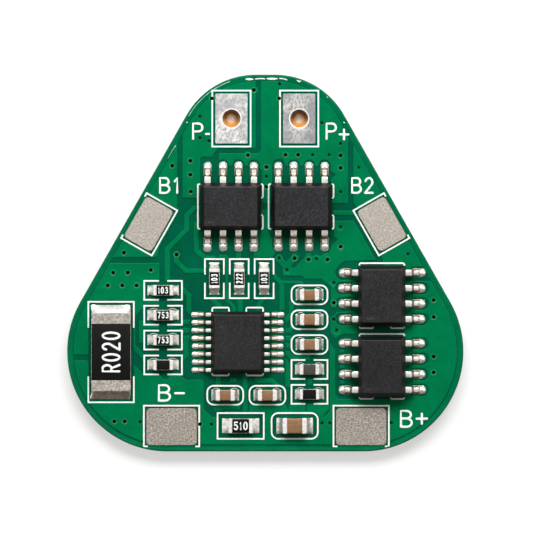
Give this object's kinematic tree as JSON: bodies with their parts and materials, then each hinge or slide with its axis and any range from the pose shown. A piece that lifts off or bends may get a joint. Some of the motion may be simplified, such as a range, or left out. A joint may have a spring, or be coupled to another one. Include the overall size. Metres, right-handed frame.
{
  "type": "battery management board",
  "caption": "Rounded triangular circuit board that protects a small cell pack, with plated output terminals, cell pads, power transistors and a controller.",
  "frame": {"origin": "middle of the board's bounding rectangle, on its underside", "axes": "+X to the positive output terminal, +Y from the lower edge to the apex with the output terminals, +Z out of the component side"},
  "size_m": [0.0324, 0.0308, 0.0029],
  "materials": {
    "mask_over_laminate": "gloss solder mask",
    "mask_over_copper": "gloss solder mask",
    "legend_ink": "matte ink",
    "terminal_tin": "bright hand-levelled tin",
    "pad_tin": "dull levelled tin",
    "package_black": "fine matte moulding",
    "lead_tin": "plated",
    "overcoat_black": "glazed overcoat",
    "grey_ceramic": "fired",
    "tan_ceramic": "fired",
    "chip_end_tin": "plated",
    "solder": "reflowed"
  },
  "bodies": {
    "root": {"circuit_board": "mask_over_laminate", "copper_tracks": "mask_over_copper", "silkscreen_frames": "legend_ink", "terminal_p_minus": "terminal_tin", "terminal_p_plus": "terminal_tin", "pad_b_minus": "pad_tin", "pad_b_plus": "pad_tin", "pad_b1": "pad_tin", "pad_b2": "pad_tin", "controller_body": "package_black", "controller_leads": "lead_tin", "shunt_body": "overcoat_black", "shunt_ends": "chip_end_tin", "grey_chip_body": "grey_ceramic", "grey_chip_ends": "chip_end_tin", "mosfet_1_body": "package_black", "mosfet_1_leads": "lead_tin", "mosfet_2_body": "package_black", "mosfet_2_leads": "lead_tin", "mosfet_3_body": "package_black", "mosfet_3_leads": "lead_tin", "mosfet_4_body": "package_black", "mosfet_4_leads": "lead_tin", "resistor_1_body": "overcoat_black", "resistor_1_ends": "chip_end_tin", "resistor_2_body": "overcoat_black", "resistor_2_ends": "chip_end_tin", "resistor_3_body": "overcoat_black", "resistor_3_ends": "chip_end_tin", "resistor_4_body": "overcoat_black", "resistor_4_ends": "chip_end_tin", "resistor_5_body": "overcoat_black", "resistor_5_ends": "chip_end_tin", "resistor_6_body": "overcoat_black", "resistor_6_ends": "chip_end_tin", "resistor_7_body": "overcoat_black", "resistor_7_ends": "chip_end_tin", "resistor_8_body": "overcoat_black", "resistor_8_ends": "chip_end_tin", "resistor_9_body": "overcoat_black", "resistor_9_ends": "chip_end_tin", "capacitor_1_body": "tan_ceramic", "capacitor_1_ends": "chip_end_tin", "capacitor_2_body": "tan_ceramic", "capacitor_2_ends": "chip_end_tin", "capacitor_3_body": "tan_ceramic", "capacitor_3_ends": "chip_end_tin", "capacitor_4_body": "tan_ceramic", "capacitor_4_ends": "chip_end_tin", "capacitor_5_body": "tan_ceramic", "capacitor_5_ends": "chip_end_tin", "capacitor_6_body": "tan_ceramic", "capacitor_6_ends": "chip_end_tin", "solder_mosfets": "solder", "solder_controller": "solder", "solder_shunt": "solder", "solder_resistors": "solder", "solder_capacitors": "solder"}
  },
  "joints": []
}
